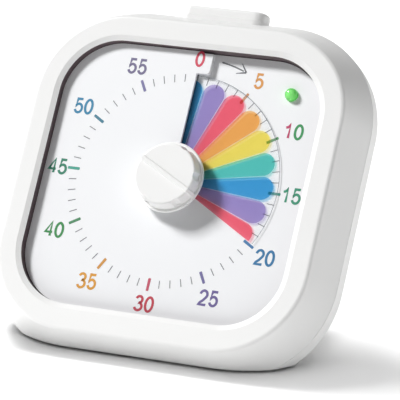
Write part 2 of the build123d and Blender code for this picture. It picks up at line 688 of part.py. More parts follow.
def output_wheel():
    """Wheel that drives the shaft through the friction washer."""
    bore = JOURNAL_RADIUS + ARBOR_CLEARANCE
    wheel = gear(OUTPUT_TEETH, GEAR_THICKNESS, bore, phase=OUTPUT_TEETH * 0.25)
    return Pos(0, 0, OUTPUT_BACK) * wheel


def clutch_washer():
    """Friction washer fixed on the shaft behind the output wheel."""
    washer = rod(JOURNAL_RADIUS + 3.0, OUTPUT_BACK - 0.8, OUTPUT_BACK)
    return washer - rod(JOURNAL_RADIUS, -FAR, FAR)


def second_wheel():
    """Second wheel with its pinion, turning on its own arbor."""
    at = second_axis()
    pinion = gear(PINION_TEETH, GEAR_THICKNESS + 2 * WHEEL_GAP, 0.2, phase=PINION_TEETH * 0.25 + 0.5)
    pinion = Pos(at[0], at[1], OUTPUT_BACK - WHEEL_GAP) * pinion
    wheel = Pos(at[0], at[1], SECOND_BACK) * gear(SECOND_TEETH, GEAR_THICKNESS, 0.2)
    sleeve = rod(1.6, SECOND_BACK, OUTPUT_BACK, at)
    return pinion + wheel + sleeve + arbor(at)


def motor_rotor():
    """Magnet rotor with its pinion."""
    at = rotor_axis()
    pinion = gear(PINION_TEETH, GEAR_THICKNESS + 2 * WHEEL_GAP, 0.2, phase=0.5)
    pinion = Pos(at[0], at[1], SECOND_BACK - WHEEL_GAP) * pinion
    magnet = rod(MAGNET_RADIUS, MOVEMENT_FLOOR + 1.6, SECOND_BACK - WHEEL_GAP, at)
    return pinion + magnet + arbor(at)


def motor_stator():
    """Steel sheet that carries the coil's field around the rotor."""
    middle = second_axis()[1]
    level = STATOR_BACK
    sheet = block((-21.8, 20.0), (middle - 6, middle + 6), (level, level + STATOR_THICKNESS))
    sheet = sheet - rod(MAGNET_RADIUS + 0.6, -FAR, FAR, rotor_axis())
    for low, high in ((middle - 5, middle - 1.5), (middle + 1.5, middle + 5)):
        sheet = sheet - block((-20.0, -5.0), (low, high), (-FAR, FAR))
    return sheet - block((-3.0, 7.0), (middle - 4, middle + 4), (-FAR, FAR))


def motor_coil():
    """Wound coil on the stator's core."""
    middle = second_axis()[1]
    coil_block = block((-19.7, -5.3), (middle - 4.7, middle + 4.7), (MOVEMENT_FLOOR, SECOND_BACK - 0.5))
    coil_block = fillet(coil_block.edges().filter_by(Axis.X), 1.5)
    core = block(
        (-FAR, FAR), (middle - 1.5, middle + 1.5), (STATOR_BACK, STATOR_BACK + STATOR_THICKNESS)
    )
    return coil_block - core


# ---------------------------------------------------------------- electrics
def circuit_board():
    """Board on the back wall's posts."""
    plate = Pos(*BOARD_AT) * RectangleRounded(BOARD_SIZE[0], BOARD_SIZE[1], 2)
    for corner in board_posts():
        plate = plate - Pos(*corner) * Circle(1.0)
    return between(plate, BOARD_FRONT - BOARD_THICKNESS, BOARD_FRONT)


def control_chip():
    """Moulded chip on the front of the board."""
    x, y = BOARD_AT
    return block((x - 4, x + 4), (y - 4, y + 4), (BOARD_FRONT, BOARD_FRONT + 2))


def slide_switch():
    """Slide switch on the back of the board: a metal can with a slot."""
    x, y = SWITCH_AT
    back = BOARD_FRONT - BOARD_THICKNESS
    can = block((x - 6, x + 6), (y - 3, y + 3), (back - 2.7, back))
    room = block(
        (x - 4 - SWITCH_TRAVEL / 2, x + 4 + SWITCH_TRAVEL / 2),
        (y - 1.9, y + 1.9),
        (back - FAR, back - 0.6),
    )
    return can - (room & block((x - 5.4, x + 5.4), (y - 3, y + 3), (-FAR, FAR)))


def switch_slider():
    """Sliding knob of the switch, out through the back wall."""
    x, y = SWITCH_AT
    x = x - SWITCH_TRAVEL / 2
    back = BOARD_FRONT - BOARD_THICKNESS
    foot = block((x - 3.0, x + 3.0), (y - 1.6, y + 1.6), (back - 2.2, back - 0.7))
    knob = block((x - 2.0, x + 2.0), (y - 1.5, y + 1.5), (-DISH_DEPTH - 1.2, back - 2.2))
    return foot + fillet(knob.faces().sort_by(Axis.Z)[0].edges(), 0.4)


def buzzer():
    """Round piezo buzzer in its case on the back wall."""
    return rod(BUZZER_RADIUS, INSIDE_BACK, INSIDE_BACK + BUZZER_HEIGHT, BUZZER_AT) - rod(
        1.5, INSIDE_BACK, INSIDE_BACK + 2, BUZZER_AT
    )


def led_lamp():
    """Round lamp with a domed tip in the dial's corner."""
    body = rod(LED_RADIUS, -3.2, LED_TIP - LED_RADIUS, LED_AT)
    dome = Pos(LED_AT[0], LED_AT[1], LED_TIP - LED_RADIUS) * Sphere(LED_RADIUS)
    collar = rod(LED_FLANGE, -3.2, -2.2, LED_AT)
    lamp = body + dome + collar
    for side in (-1.27, 1.27):
        lamp = lamp + block(
            (LED_AT[0] + side - 0.25, LED_AT[0] + side + 0.25),
            (LED_AT[1] - 0.25, LED_AT[1] + 0.25),
            (FRAME_BACK - 3.0, -3.0),
        )
    return lamp


def led_holder():
    """Ring between the frame and the lamp's flange."""
    ring = rod(LED_FLANGE + 0.8, FRAME_FRONT, -3.2, LED_AT)
    return ring - rod(1.9, -FAR, FAR, LED_AT)


# ---------------------------------------------------------------- top button
def button_collar():
    """Cup with a raised rim around the cap; its floor carries the key switch and springs."""
    rim = upright_slot(COLLAR_LENGTH, COLLAR_WIDTH, CUP_TOP - CUP_LEDGE, COLLAR_TOP)
    rim = fillet(rim.faces().sort_by(Axis.Y)[-1].edges(), COLLAR_WALL / 2)
    cup = upright_slot(CUP_LENGTH, CUP_WIDTH, CUP_BASE, CUP_TOP)
    throat_length = CAP_LENGTH + 2 * CAP_GAP
    throat_width = CAP_WIDTH + 2 * CAP_GAP
    throat = upright_slot(throat_length, throat_width, CAP_TAB_TOP, FAR / 2)
    room_length = throat_length + 2 * TAB_REACH + CAP_GAP
    room = upright_slot(room_length, throat_width, CUP_INSIDE, CAP_TAB_TOP + CAP_GAP)
    return rim + cup - throat - room


def button_cap():
    """Long push button, hollow below, with a tab at each end under the cup's ledge."""
    skirt = CAP_TAB_TOP - TAB_THICKNESS
    cap = upright_slot(CAP_LENGTH, CAP_WIDTH, skirt, CAP_TOP)
    cap = fillet(cap.faces().sort_by(Axis.Y)[-1].edges(), CAP_ROUND)
    inner_length = CAP_LENGTH - 2 * CAP_WALL
    cap = cap - upright_slot(inner_length, CAP_WIDTH - 2 * CAP_WALL, 0, CAP_TOP - CAP_ROOF)
    reach = CAP_LENGTH / 2 + TAB_REACH
    depths = (-BUTTON_DEPTH - TAB_HALF_DEPTH, -BUTTON_DEPTH + TAB_HALF_DEPTH)
    tabs = block((-reach, reach), (skirt, CAP_TAB_TOP), depths)
    cap = cap + (tabs - block((-inner_length / 2, inner_length / 2), (-FAR, FAR), (-FAR, FAR)))
    post_top = CAP_TOP - CAP_ROOF + 0.1
    for x in SPRING_AT:
        cap = cap + upright_rod(SPRING_RADIUS + 0.5, SPRING_TOP, post_top, x)
    return cap + upright_rod(1.6, KEY_TOP + CAP_TRAVEL + 0.1, post_top)


def key_switch():
    """Small key switch under the cap's middle."""
    half = KEY_SIDE / 2
    stem_base = KEY_TOP - 1.8
    can = block(
        (-half, half), (CUP_INSIDE, stem_base + 0.5), (-BUTTON_DEPTH - half, -BUTTON_DEPTH + half)
    )
    return can + upright_rod(1.7, stem_base, KEY_TOP)


def button_springs():
    """Two compression springs between the cup's floor and the cap's posts."""
    spring = Rot(-90, 0, 0) * coil(SPRING_RADIUS, 0.25, SPRING_LENGTH, 5)
    springs = [Pos(x, CUP_INSIDE, -BUTTON_DEPTH) * spring for x in SPRING_AT]
    return Compound(children=springs)


# ---------------------------------------------------------------- batteries
def battery_rows():
    """Centres of the two cells along Y, with the side that each one's nub points to."""
    row = BATTERY_RADIUS + BATTERY_GAP / 2
    return [(TUB_CENTRE + row, 1), (TUB_CENTRE - row, -1)]


def battery_cell(row, side):
    """One cell lying along X with its nub at the given side."""
    centre_z = -TUB_FLOOR - BATTERY_RADIUS - 0.3
    body = Pos(0, row, centre_z) * Rot(0, 90, 0) * Cylinder(BATTERY_RADIUS, BATTERY_LENGTH)
    body = fillet(body.edges(), 0.5)
    nub_at = side * (BATTERY_LENGTH + BATTERY_NUB) / 2
    nub = Pos(nub_at, row, centre_z) * Rot(0, 90, 0) * Cylinder(2.75, BATTERY_NUB)
    return body + nub


def plus_contacts():
    """Flat contacts that the nubs press on."""
    plates = []
    wall = TUB_LENGTH / 2
    for row, side in battery_rows():
        low, high = sorted((side * wall, side * (BATTERY_LENGTH / 2 + BATTERY_NUB)))
        plate = block((low, high), (row - 4, row + 4), (-TUB_FLOOR - 12, -TUB_FLOOR - 2))
        edge = side * (BATTERY_LENGTH / 2 + BATTERY_NUB + 0.5)
        inner, outer = sorted((edge, side * (wall - 0.5)))
        plate = plate - block((inner, outer), (row - 4, row + 4), (-FAR, -TUB_FLOOR - 2.5))
        plates.append(plate)
    return Compound(children=plates)


def minus_springs():
    """Contact springs at the flat ends of the cells."""
    springs = []
    centre_z = -TUB_FLOOR - BATTERY_RADIUS - 0.3
    length = (TUB_LENGTH - BATTERY_LENGTH) / 2
    for row, side in battery_rows():
        turn = Rot(0, 90, 0) if side > 0 else Rot(0, -90, 0)
        springs.append(Pos(-side * TUB_LENGTH / 2, row, centre_z) * turn * coil(3.2, 0.35, length, 3))
    return Compound(children=springs)


def battery_door():
    """Flat door whose tongues run in the grooves of the wedge, with a ribbed thumb grip."""
    door = door_plate(0)
    for step in range(5):
        y = HUMP_TOP - 6 - 1.6 * step
        door = door - block((-8, 8), (y - 0.4, y + 0.4), (DOOR_OUTSIDE - 1, DOOR_OUTSIDE + 0.4))
    return door


def pads():
    """Four rubber pads in recesses under the case."""
    return Compound(children=rubber_pads())


def case_screws():
    """Four long screws that hold the rear cover, the frame and the front housing together."""
    return Compound(children=[case_screw(at) for at in corners(BOSS_AT, CASE_DROP)])


def movement_screws():
    """Four countersunk screws between the frame and the movement."""
    return Compound(children=[movement_screw(at) for at in corners(MOVEMENT_SCREW_AT)])


PIECES = {
    "front_housing": front_housing,
    "rear_cover": rear_cover,
    "dial_plate": dial_plate,
    "film_disc": film_disc,
    "disc_hub": disc_hub,
    "dial_knob": dial_knob,
    "knob_shaft": knob_shaft,
    "inner_frame": inner_frame,
    "shaft_bush": shaft_bush,
    "movement_cover": movement_cover,
    "movement_case": movement_case,
    "movement_screws": movement_screws,
    "output_wheel": output_wheel,
    "clutch_washer": clutch_washer,
    "second_wheel": second_wheel,
    "motor_rotor": motor_rotor,
    "motor_stator": motor_stator,
    "motor_coil": motor_coil,
    "circuit_board": circuit_board,
    "control_chip": control_chip,
    "slide_switch": slide_switch,
    "switch_slider": switch_slider,
    "buzzer": buzzer,
    "led_lamp": led_lamp,
    "led_holder": led_holder,
    "button_collar": button_collar,
    "button_cap": button_cap,
    "button_springs": button_springs,
    "key_switch": key_switch,
    "battery_upper": lambda: battery_cell(*battery_rows()[0]),
    "battery_lower": lambda: battery_cell(*battery_rows()[1]),
    "plus_contacts": plus_contacts,
    "minus_springs": minus_springs,
    "battery_door": battery_door,
    "rubber_pads": pads,
    "case_screws": case_screws,
}

def footprint_centre(shapes):
    """Middle of all the shapes, seen from above."""
    boxes = [shape.bounding_box() for shape in shapes]
    x = (min(box.min.X for box in boxes) + max(box.max.X for box in boxes)) / 2
    y = (min(box.min.Y for box in boxes) + max(box.max.Y for box in boxes)) / 2
    return x, y


if __name__ == "__main__":
    os.makedirs("parts", exist_ok=True)
    standing = {name: to_desk(make()) for name, make in PIECES.items()}
    middle_x, middle_y = footprint_centre(standing.values())
    for name, shape in standing.items():
        export_step(Pos(-middle_x, -middle_y, 0) * shape, f"parts/{name}.step")
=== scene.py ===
# %% [markdown]
# # A visual countdown timer
#
# The solids of the timer come from a CAD model: a flared white case, a dial that is one turn of
# a shallow screw surface, a clear disc of the same pitch, a finger knob, and all that is inside.
# This lesson gives them their finishes and adds what is printed on them. The first cell loads
# the solids. They keep their places, and everything added is placed from their own sizes.

# %% Load the solids
import json
from math import atan2, cos, pi, radians, sin, sqrt, tau

import bmesh
import bpy
from mathutils import Euler, Matrix, Vector


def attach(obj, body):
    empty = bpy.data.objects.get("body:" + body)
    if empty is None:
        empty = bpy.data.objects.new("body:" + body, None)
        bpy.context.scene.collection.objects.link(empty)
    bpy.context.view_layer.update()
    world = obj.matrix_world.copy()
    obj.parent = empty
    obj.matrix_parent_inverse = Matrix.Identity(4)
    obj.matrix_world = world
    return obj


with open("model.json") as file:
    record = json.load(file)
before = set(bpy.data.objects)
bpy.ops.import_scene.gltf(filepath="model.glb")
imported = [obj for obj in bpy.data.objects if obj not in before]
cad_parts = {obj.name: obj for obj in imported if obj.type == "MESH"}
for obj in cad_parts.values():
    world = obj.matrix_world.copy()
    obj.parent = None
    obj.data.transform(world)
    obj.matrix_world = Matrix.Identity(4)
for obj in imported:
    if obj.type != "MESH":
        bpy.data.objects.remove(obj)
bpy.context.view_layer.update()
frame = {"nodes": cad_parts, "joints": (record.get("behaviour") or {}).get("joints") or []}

nodes = frame["nodes"]

# %% [markdown]
# ## The dial's own frame
#
# The dial leans back, so printing on it is easiest in a frame that leans with it: X to the
# right, Y up the dial, Z towards the reader. The knob's hinge gives both the dial's centre and
# its axis, so nothing has to be measured by eye.

# %% Dial frame
MM = 0.001
knob_hinge = next(joint for joint in frame["joints"] if joint["name"] == "knob_turn")
dial_centre = Vector(knob_hinge["pos_m"])
towards_reader = -Vector(knob_hinge["axis"])
to_the_right = Vector((1, 0, 0))
up_the_dial = towards_reader.cross(to_the_right)
dial_frame = Matrix((to_the_right, up_the_dial, towards_reader)).transposed().to_4x4()
dial_frame.translation = dial_centre
print("dial centre", [round(1000 * part, 1) for part in dial_centre], "mm")

# %% [markdown]
# ## The screw surface
#
# The dial's face rises by one pitch in a turn clockwise from zero. A print on it has to follow
# that rise, or it would sink into the plate on one side of the dial and float on the other. So
# each print is drawn flat first and each of its points is then lifted to the surface.

# %% Screw surface
PITCH = 2.2  # all lengths on the dial are in mm
REST_ANGLE = 118.8  # clockwise angle of the disc's leading edge
PRINT_LIFT = 0.035  # how far a print stands off what it is printed on
FILM_LIFT = 0.35
FILM_THICKNESS = 0.3
FILM_TOP = FILM_LIFT + FILM_THICKNESS  # height of the disc's face above the dial's
FILM_RADIUS = 42.9
FILM_SPAN = 358.0


def face_height(degrees):
    """Height of the dial's face, in mm, at an angle clockwise from zero."""
    return PITCH * (degrees / 360 - 0.5)


def clockwise(x, y):
    """Angle of a point on the dial, in degrees clockwise from zero at the top."""
    return (450 - atan2(y, x) * 180 / pi) % 360


def on_dial(radius, degrees, height=0.0):
    """Point at a radius and a clockwise angle, in mm in the dial's frame."""
    angle = radians(degrees)
    return Vector((radius * sin(angle), radius * cos(angle), height))


print("face height at 0, 30 and 59 minutes:", [round(face_height(6 * m), 2) for m in (0, 30, 59)])

# %% [markdown]
# ## Small helpers
#
# Colours are written as the familiar hex values, so one function turns them to the linear
# values that a shader works in. Another adds a node with its settings. Two make a material, with
# an even shine or a mottled one, since no real surface shines quite evenly. The last turns a
# finished bmesh, drawn in millimetres on the dial, into a piece of the timer.

# %% Helpers
NOISE_LOW, NOISE_HIGH = 0.35, 0.65  # most of a noise texture's values lie between these


def linear(hex_colour, alpha=1.0):
    """Linear RGBA of an sRGB hex colour."""
    parts = [int(hex_colour[i:i + 2], 16) / 255 for i in (1, 3, 5)]
    curve = [c / 12.92 if c <= 0.04045 else ((c + 0.055) / 1.055) ** 2.4 for c in parts]
    return (*curve, alpha)


def add_node(tree, kind, settings=None, links=None):
    """Adds a node, sets its attributes and inputs, and links its inputs from other sockets."""
    node = tree.nodes.new(kind)
    for name, value in (settings or {}).items():
        if isinstance(name, int) or name in node.inputs:
            node.inputs[name].default_value = value
        else:
            setattr(node, name, value)
    for name, socket in (links or {}).items():
        tree.links.new(socket, node.inputs[name])
    return node


def plain_material(name, colour, roughness, **sockets):
    """A principled material with fixed values; returns it with its tree and shader."""
    material = bpy.data.materials.new(name)
    material.use_nodes = True
    tree = material.node_tree
    shader = tree.nodes["Principled BSDF"]
    shader.inputs["Base Color"].default_value = linear(colour)
    shader.inputs["Roughness"].default_value = roughness
    for socket, value in sockets.items():
        shader.inputs[socket.replace("_", " ")].default_value = value
    return material, tree, shader


def uneven_material(name, colour, roughness, spread, grain, **sockets):
    """A principled material whose roughness drifts by a spread each way, over a grain's size."""
    material, tree, shader = plain_material(name, colour, roughness, **sockets)
    where = add_node(tree, "ShaderNodeTexCoord")
    noise = add_node(
        tree,
        "ShaderNodeTexNoise",
        {"Scale": 1 / grain, "Detail": 2.0},
        {"Vector": where.outputs["Object"]},
    )
    drift = add_node(
        tree,
        "ShaderNodeMapRange",
        {
            "From Min": NOISE_LOW, "From Max": NOISE_HIGH,
            "To Min": roughness - spread, "To Max": roughness + spread,
        },
        {"Value": noise.outputs["Fac"]},
    )
    tree.links.new(drift.outputs["Result"], shader.inputs["Roughness"])
    return material, tree, shader


def dial_piece(mesh_builder, name, materials, body, smooth=False):
    """Turns a bmesh in mm on the dial into an object in the timer's frame, riding on a body."""
    mesh_builder.transform(dial_frame @ Matrix.Scale(MM, 4))
    mesh = bpy.data.meshes.new(name)
    mesh_builder.to_mesh(mesh)
    mesh_builder.free()
    for polygon in mesh.polygons:
        polygon.use_smooth = smooth
    piece = bpy.data.objects.new(name, mesh)
    bpy.context.scene.collection.objects.link(piece)
    for material in materials:
        mesh.materials.append(material)
    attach(piece, body)
    print(name, len(mesh.polygons), "faces on", body)
    return piece


# %% [markdown]
# ## Moulded plastics
#
# The case is ABS from a lightly textured mould: white, satin, with a grain so fine that it only
# softens the highlight. The knob and the button are the same plastic from a polished mould, so
# they mirror the lamps more. The dial is smooth and a touch cooler, because it is printed. The
# wall of the well around the dial is painted dark grey as painted shade, for the shade that falls
# in the recess. It belongs to the housing's one solid, so the painted shade is found from where a
# point lies in the dial's frame: inside a rounded square and below the window's bevel.

# %% Case, knob and dial plastics
CASE_WHITE = "#F1F1F0"
KNOB_WHITE = "#FBFBFA"
DIAL_WHITE = "#FCFDFF"
MOULD_GRAIN = 0.5 * MM
MOULD_BUMP = 0.25
# Painted shade: the well's wall is coloured dark grey for the shade in the recess.
WELL_SHADE_GREY = "#57494D"
WELL_DROP = -0.8  # the well's middle, up the dial from the knob's axis
WELL_STRAIGHT_X = 31.0  # from the well's middle to where its corners begin
WELL_STRAIGHT_Y = 30.3
WELL_ROUND = 23.3  # radius of its corners
WELL_TOP = 3.5  # height of its upper edge


def moulded_abs(name, colour, roughness, grain_height):
    """ABS with the faint grain of its mould."""
    material, tree, shader = plain_material(name, colour, roughness, IOR=1.53)
    where = add_node(tree, "ShaderNodeTexCoord")
    grain = add_node(
        tree,
        "ShaderNodeTexNoise",
        {"Scale": 1 / MOULD_GRAIN, "Detail": 2.0, "Roughness": 0.5},
        {"Vector": where.outputs["Object"]},
    )
    bump = add_node(
        tree,
        "ShaderNodeBump",
        {"Strength": MOULD_BUMP, "Distance": grain_height},
        {"Height": grain.outputs["Fac"]},
    )
    tree.links.new(bump.outputs["Normal"], shader.inputs["Normal"])
    return material


def shade_well(material):
    """Paints shade on the wall of the well around the dial, found from its place in the dial's
    frame.
    """
    tree = material.node_tree
    shader = tree.nodes["Principled BSDF"]
    where = add_node(tree, "ShaderNodeTexCoord")
    well_middle = dial_centre + up_the_dial * WELL_DROP * MM
    from_dial = add_node(
        tree,
        "ShaderNodeVectorMath",
        {"operation": "SUBTRACT", 1: well_middle},
        {0: where.outputs["Object"]},
    )
    reach = []
    for direction, straight in ((to_the_right, WELL_STRAIGHT_X), (up_the_dial, WELL_STRAIGHT_Y)):
        along = add_node(
            tree,
            "ShaderNodeVectorMath",
            {"operation": "DOT_PRODUCT", 1: direction},
            {0: from_dial.outputs[0]},
        )
        size = add_node(
            tree, "ShaderNodeMath", {"operation": "ABSOLUTE"}, {0: along.outputs["Value"]}
        )
        past = add_node(
            tree,
            "ShaderNodeMath",
            {"operation": "SUBTRACT", 1: straight * MM},
            {0: size.outputs[0]},
        )
        outside = add_node(
            tree, "ShaderNodeMath", {"operation": "MAXIMUM", 1: 0.0}, {0: past.outputs[0]}
        )
        reach.append(outside.outputs[0])
    corner = add_node(tree, "ShaderNodeCombineXYZ", None, {"X": reach[0], "Y": reach[1]})
    radius = add_node(
        tree, "ShaderNodeVectorMath", {"operation": "LENGTH"}, {0: corner.outputs[0]}
    )
    inside = add_node(
        tree,
        "ShaderNodeMath",
        {"operation": "LESS_THAN", 1: WELL_ROUND * MM},
        {0: radius.outputs["Value"]},
    )
    height = add_node(
        tree,
        "ShaderNodeVectorMath",
        {"operation": "DOT_PRODUCT", 1: towards_reader},
        {0: from_dial.outputs[0]},
    )
    below = add_node(
        tree,
        "ShaderNodeMath",
        {"operation": "LESS_THAN", 1: WELL_TOP * MM},
        {0: height.outputs["Value"]},
    )
    # Mask of the painted shade: inside the well's rounded square and below its upper edge.
    both = add_node(
        tree,
        "ShaderNodeMath",
        {"operation": "MULTIPLY"},
        {0: inside.outputs[0], 1: below.outputs[0]},
    )
    # The mix paints the well's wall dark grey as painted shade.
    colour = add_node(
        tree, "ShaderNodeMix", {"data_type": "RGBA"}, {"Factor": both.outputs[0]}
    )
    colour.inputs["A"].default_value = linear(CASE_WHITE)
    colour.inputs["B"].default_value = linear(WELL_SHADE_GREY)
    tree.links.new(colour.outputs["Result"], shader.inputs["Base Color"])


case_abs = moulded_abs("Satin moulded ABS", CASE_WHITE, 0.42, 0.02 * MM)
# This copy of the case plastic carries painted shade on the well's wall.
housing_abs_well_shaded = moulded_abs("Satin moulded ABS, painted shade in the well", CASE_WHITE, 0.42, 0.02 * MM)
knob_abs = moulded_abs("Polished moulded ABS", KNOB_WHITE, 0.38, 0.005 * MM)
dial_abs = moulded_abs("Smooth dial ABS", DIAL_WHITE, 0.36, 0.008 * MM)
shade_well(housing_abs_well_shaded)
black_abs = moulded_abs("Black moulded ABS", "#1B1B1D", 0.4, 0.02 * MM)
acetal = moulded_abs("Natural acetal", "#E4E2D8", 0.4, 0.005 * MM)
rubber = moulded_abs("Grey rubber", "#4A4A4A", 0.8, 0.03 * MM)
print("plastics:", [m.name for m in bpy.data.materials])

# %% [markdown]
# ## Clear film, inks and resin
#
# The disc is clear PET. It hardly shows, apart from its shine, so it is nearly transparent
# rather than white. Its cut edge is painted grey, for the dark line that refraction draws at a
# clear edge. Screen inks on it are translucent: what is printed on the dial shows through them.
# The lamp is tinted epoxy resin. The darker rim of its dome is painted shade for the refraction
# there, and it follows the angle of view. It glows a little, as if lit.

# %% Film, inks and lamp
film_pet, _, _ = plain_material("Clear PET film", "#F6F9FC", 0.08, IOR=1.57, Alpha=0.06)
# Painted refraction: the film's cut edge is coloured grey for the dark line it shows.
film_edge_painted_grey, _, _ = plain_material("Painted grey line at the film's cut edge", "#7D848C", 0.2, IOR=1.57, Alpha=0.85)

PETAL_COLOURS = {
    "red": "#FF6A7E", "violet": "#A594D2", "blue": "#44A4E0",
    "teal": "#5CCEC4", "yellow": "#FFEA68", "orange": "#FFB460",
}
PETAL_COVER = 0.08  # share of an ink that covers; the rest filters
INK_GRAIN = 0.4 * MM
LAMP_FACE = "#9CFA8C"
# Painted shade: the dome's rim colour stands for the darkening by refraction at its edge.
LAMP_RIM_SHADE = "#156B2B"
LAMP_GLOW = "#5CFF5A"


def screen_ink(name, colour):
    """Translucent ink on the film: partly a filter for what lies below, partly a colour."""
    material, tree, shader = uneven_material(
        f"Petal ink {name}", colour, roughness=0.3, spread=0.06, grain=2 * INK_GRAIN
    )
    passed = [part ** 0.5 for part in linear(colour)[:3]]
    through = add_node(tree, "ShaderNodeBsdfTransparent", {"Color": (*passed, 1.0)})
    mix = add_node(
        tree,
        "ShaderNodeMixShader",
        {"Fac": PETAL_COVER},
        {1: through.outputs["BSDF"], 2: shader.outputs["BSDF"]},
    )
    tree.links.new(mix.outputs["Shader"], tree.nodes["Material Output"].inputs["Surface"])
    return material


petal_inks = [screen_ink(name, colour) for name, colour in PETAL_COLOURS.items()]


def print_ink(name, colour):
    """Opaque pad-printing ink on the dial."""
    return uneven_material(
        f"Dial ink {name}", colour, roughness=0.45, spread=0.09, grain=INK_GRAIN
    )[0]


grey_ink = print_ink("grey", "#63656A")
lamp_resin, lamp_tree, lamp_shader = plain_material(
    "Green epoxy resin", LAMP_FACE, 0.12, IOR=1.55, Transmission_Weight=0.15, Coat_Weight=0.3
)
lamp_shader.inputs["Emission Color"].default_value = linear(LAMP_GLOW)
lamp_shader.inputs["Emission Strength"].default_value = 0.2
# Painted shade: the dome turns darker towards its rim with the angle of view.
dome_edge = add_node(lamp_tree, "ShaderNodeLayerWeight", {"Blend": 0.5})
lamp_rim_shade_tint = add_node(
    lamp_tree, "ShaderNodeMix", {"data_type": "RGBA"}, {"Factor": dome_edge.outputs["Facing"]}
)
lamp_rim_shade_tint.inputs["A"].default_value = linear(LAMP_FACE)
lamp_rim_shade_tint.inputs["B"].default_value = linear(LAMP_RIM_SHADE)
lamp_tree.links.new(lamp_rim_shade_tint.outputs["Result"], lamp_shader.inputs["Base Color"])
print(len(petal_inks), "petal inks, cover", PETAL_COVER)

# %% [markdown]
# ## Metals and small parts
#
# Contacts, springs and screws are plated steel, the bush is turned brass, the motor's coil is
# enamelled copper wire, and the board has a green solder mask. Most have an uneven shine. Wire
# of a quarter of a millimetre is too fine to show, so the coil's windings are drawn coarser.

# %% Metals and board
WINDING_STEP = pi / 2 * MM
WAVE_AT_ONE = tau / 20  # length of one wave of the wave texture at a scale of one

plated_steel, _, _ = uneven_material(
    "Nickel-plated steel", "#C9CACC", roughness=0.28, spread=0.08, grain=0.8 * MM, Metallic=1.0
)
turned_brass, _, _ = uneven_material(
    "Turned brass", "#D8B56A", roughness=0.3, spread=0.08, grain=0.3 * MM, Metallic=1.0
)
coil_copper, coil_tree, coil_shader = plain_material(
    "Enamelled copper wire", "#B4622E", 0.35, Metallic=1.0
)
coil_where = add_node(coil_tree, "ShaderNodeTexCoord")
windings = add_node(
    coil_tree,
    "ShaderNodeTexWave",
    {"Scale": WAVE_AT_ONE / WINDING_STEP, "bands_direction": "X", "Distortion": 0.0},
    {"Vector": coil_where.outputs["Object"]},
)
wire_bump = add_node(
    coil_tree,
    "ShaderNodeBump",
    {"Strength": 0.6, "Distance": 0.1 * MM},
    {"Height": windings.outputs["Fac"]},
)
coil_tree.links.new(wire_bump.outputs["Normal"], coil_shader.inputs["Normal"])
solder_mask, _, _ = uneven_material(
    "Green solder mask", "#1F6B3A", roughness=0.35, spread=0.07, grain=1.5 * MM
)
cell_sleeve, _, _ = uneven_material(
    "Printed cell sleeve", "#3E444C", roughness=0.305, spread=0.055, grain=3.0 * MM, Metallic=0.4
)

finishes = {
    housing_abs_well_shaded: ["front_housing"],
    case_abs: ["rear_cover", "inner_frame", "battery_door", "button_collar"],
    knob_abs: ["dial_knob", "disc_hub", "button_cap"],
    dial_abs: ["dial_plate"],
    film_pet: ["film_disc"],
    black_abs: [
        "movement_cover", "movement_case", "control_chip", "buzzer", "led_holder", "key_switch",
        "switch_slider",
    ],
    acetal: ["output_wheel", "second_wheel", "motor_rotor"],
    rubber: ["rubber_pads"],
    lamp_resin: ["led_lamp"],
    plated_steel: [
        "knob_shaft", "clutch_washer", "movement_screws", "motor_stator", "slide_switch",
        "button_springs", "plus_contacts", "minus_springs", "case_screws",
    ],
    turned_brass: ["shaft_bush"],
    coil_copper: ["motor_coil"],
    solder_mask: ["circuit_board"],
    cell_sleeve: ["battery_upper", "battery_lower"],
}
for finish, names in finishes.items():
    for name in names:
        materials = nodes[name].data.materials
        materials.clear()
        materials.append(finish)
print(sum(len(names) for names in finishes.values()), "solids finished of", len(nodes))

# %% [markdown]
# ## Petals on the disc
#
# Twenty-four petals of fifteen degrees are printed on the film, round at their tips and narrow
# at the hub, with a hair's breadth of clear film between them. The disc is cut straight at its
# leading edge, through a petal. Each petal starts as a grid. Its columns are laid across and its
# rows from hub to tip, closer together towards the tip so that it is round.

# %% Petals
PETALS = 24
PETAL_STEP = 15.0
PETAL_ROOT = 8.0
PETAL_TIP = 40.9
PETAL_GAP = 0.36
LAST_PETAL = 117.9  # clockwise angle of the petal at the leading edge
PETAL_ROWS = 36
PETAL_COLUMNS = 10
LEADING_END_ABOVE = -0.4  # the disc's two ends nearly meet; the leading one is above this height


def petal_half_width(radius, tip_centre, tip_round):
    """Half of a petal's width at a radius: straight sides, then the round tip."""
    straight = radius * tip_round / tip_centre
    if radius < tip_centre:
        return straight
    return sqrt(max(tip_round ** 2 - (radius - tip_centre) ** 2, 0))


def petal(builder, middle, colour):
    """Adds one petal, drawn on the film, around the clockwise angle middle."""
    half_angle = radians(PETAL_STEP / 2)
    tip_centre = (PETAL_TIP + PETAL_GAP / 2) / (1 + sin(half_angle))
    tip_round = PETAL_TIP - tip_centre
    grid = bmesh.ops.create_grid(
        builder, x_segments=PETAL_COLUMNS, y_segments=PETAL_ROWS, size=1.0
    )
    print_height = FILM_TOP + PRINT_LIFT
    for vertex in grid["verts"]:
        along = (vertex.co.y + 1) / 2
        across = vertex.co.x
        radius = PETAL_ROOT + (PETAL_TIP - PETAL_ROOT) * sin(along * pi / 2)
        offset = across * petal_half_width(radius, tip_centre, tip_round)
        degrees = middle + atan2(offset, radius) * 180 / pi
        reach = sqrt(radius ** 2 + offset ** 2)
        vertex.co = on_dial(reach, degrees, face_height(degrees) + print_height)
    for face in {face for vertex in grid["verts"] for face in vertex.link_faces}:
        face.material_index = colour


